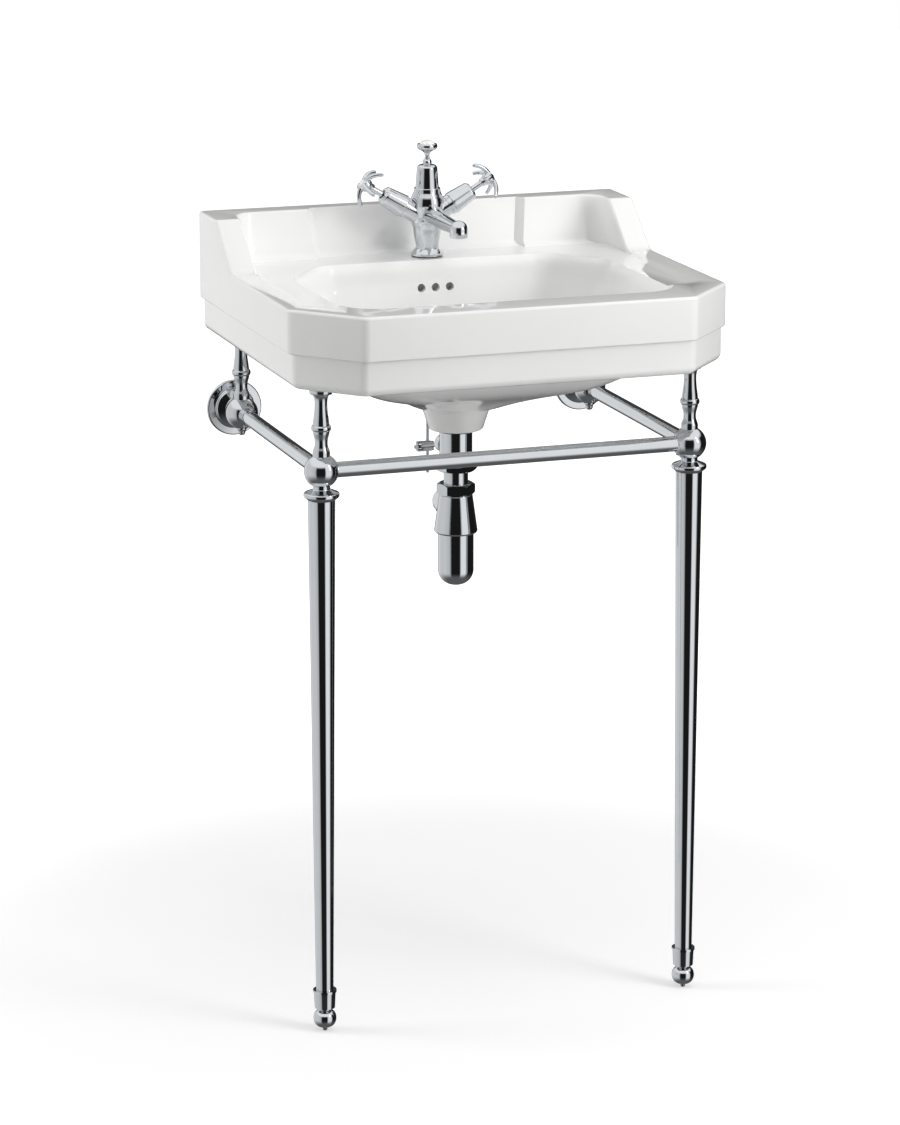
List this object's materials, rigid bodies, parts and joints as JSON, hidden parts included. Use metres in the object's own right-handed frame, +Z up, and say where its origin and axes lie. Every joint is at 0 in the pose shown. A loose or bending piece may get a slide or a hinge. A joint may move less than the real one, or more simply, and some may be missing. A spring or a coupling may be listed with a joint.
{
  "type": "basin with washstand",
  "caption": "Glazed washbasin with a low upstand on a chrome two-legged washstand, with a claw-handled mixer tap, pop-up waste and bottle trap.",
  "frame": {"origin": "on the floor, under the middle of the basin's plan", "axes": "+X to the user's right, +Y towards the wall, +Z up"},
  "size_m": [0.56, 0.47, 1.0509],
  "materials": {
    "glaze": "gloss",
    "porcelain": "gloss",
    "chrome": "polished",
    "brass": "machined",
    "steel": "bright",
    "rubber": "matt"
  },
  "bodies": {
    "basin_and_stand": {"basin": "glaze", "centre_bonnet": "chrome", "cold_valve_cartridge": "brass", "cold_valve_shroud": "chrome", "front_rail": "chrome", "hot_valve_cartridge": "brass", "hot_valve_shroud": "chrome", "left_foot": "chrome", "left_front_joint": "chrome", "left_front_spindle": "chrome", "left_leg": "chrome", "left_rear_joint": "chrome", "left_rear_spindle": "chrome", "left_side_rail": "chrome", "left_wall_flange": "chrome", "pivot_nut": "chrome", "rail_grub_screws": "steel", "right_foot": "chrome", "right_front_joint": "chrome", "right_front_spindle": "chrome", "right_leg": "chrome", "right_rear_joint": "chrome", "right_rear_spindle": "chrome", "right_side_rail": "chrome", "right_wall_flange": "chrome", "spindle_pads": "rubber", "tap_backnut": "brass", "tap_backnut_washer": "rubber", "tap_body": "chrome", "tap_gasket": "rubber", "tap_outlet": "chrome", "trap_body": "chrome", "trap_inlet_nut": "chrome", "trap_inlet_seal": "rubber", "trap_inlet_tube": "chrome", "trap_tube_nut": "chrome", "waste_flange": "chrome", "waste_flange_seal": "rubber", "waste_tail": "chrome", "waste_washer": "rubber"},
    "hot_handle": {"hot_handle": "chrome", "hot_index_cap": "porcelain", "hot_valve_spindle": "chrome"},
    "cold_handle": {"cold_handle": "chrome", "cold_index_cap": "porcelain", "cold_valve_spindle": "chrome"},
    "popup_knob": {"popup_knob": "chrome", "popup_knob_cap": "porcelain", "lift_rod": "chrome", "rod_clamp": "chrome", "clamp_screws": "chrome"},
    "pivot_lever": {"pivot_lever": "chrome"},
    "waste_plug": {"waste_plug": "chrome", "waste_plug_seal": "rubber"},
    "left_levelling_peg": {"left_levelling_peg": "steel"},
    "right_levelling_peg": {"right_levelling_peg": "steel"},
    "trap_cup_seal": {"trap_cup_seal": "rubber"},
    "trap_cup": {"trap_cup": "chrome"}
  },
  "joints": [
    {"name": "hot_handle_turn", "type": "hinge", "parent": "basin_and_stand", "child": "hot_handle", "pos_m": [0, 0.161, 0.948], "axis": [-0.8572, 0, 0.515], "range_deg": [0, 90]},
    {"name": "cold_handle_turn", "type": "hinge", "parent": "basin_and_stand", "child": "cold_handle", "pos_m": [0, 0.161, 0.948], "axis": [0.8572, 0, 0.515], "range_deg": [-90, 0]},
    {"name": "popup_lift", "type": "slide", "parent": "basin_and_stand", "child": "popup_knob", "axis": [0, 0, 1], "range_m": [0, 0.025]},
    {"name": "pivot_lever_tilt", "type": "hinge", "parent": "basin_and_stand", "child": "pivot_lever", "pos_m": [-0.00296, 0.08187, 0.673], "axis": [0.9962, 0.0872, 0], "range_deg": [0, 18]},
    {"name": "waste_plug_drop", "type": "slide", "parent": "basin_and_stand", "child": "waste_plug", "axis": [0, 0, 1], "range_m": [-0.0108, 0]},
    {"name": "left_peg_level", "type": "slide", "parent": "basin_and_stand", "child": "left_levelling_peg", "axis": [0, 0, 1], "range_m": [0, 0.005]},
    {"name": "right_peg_level", "type": "slide", "parent": "basin_and_stand", "child": "right_levelling_peg", "axis": [0, 0, 1], "range_m": [0, 0.005]},
    {"name": "trap_cup_drop", "type": "slide", "parent": "basin_and_stand", "child": "trap_cup_seal", "axis": [0, 0, 1], "range_m": [-0.008, 0]},
    {"name": "trap_cup_turn", "type": "hinge", "parent": "trap_cup_seal", "child": "trap_cup", "pos_m": [0, 0.048, 0.498], "axis": [0, 0, 1], "range_deg": [0, 720]}
  ],
  "couplings": [
    {"joint": "pivot_lever_tilt", "follows": "popup_lift", "rad_per_m": 12.565},
    {"joint": "waste_plug_drop", "follows": "popup_lift", "ratio": -0.43196},
    {"joint": "trap_cup_turn", "follows": "trap_cup_drop", "rad_per_m": -1570.6}
  ]
}
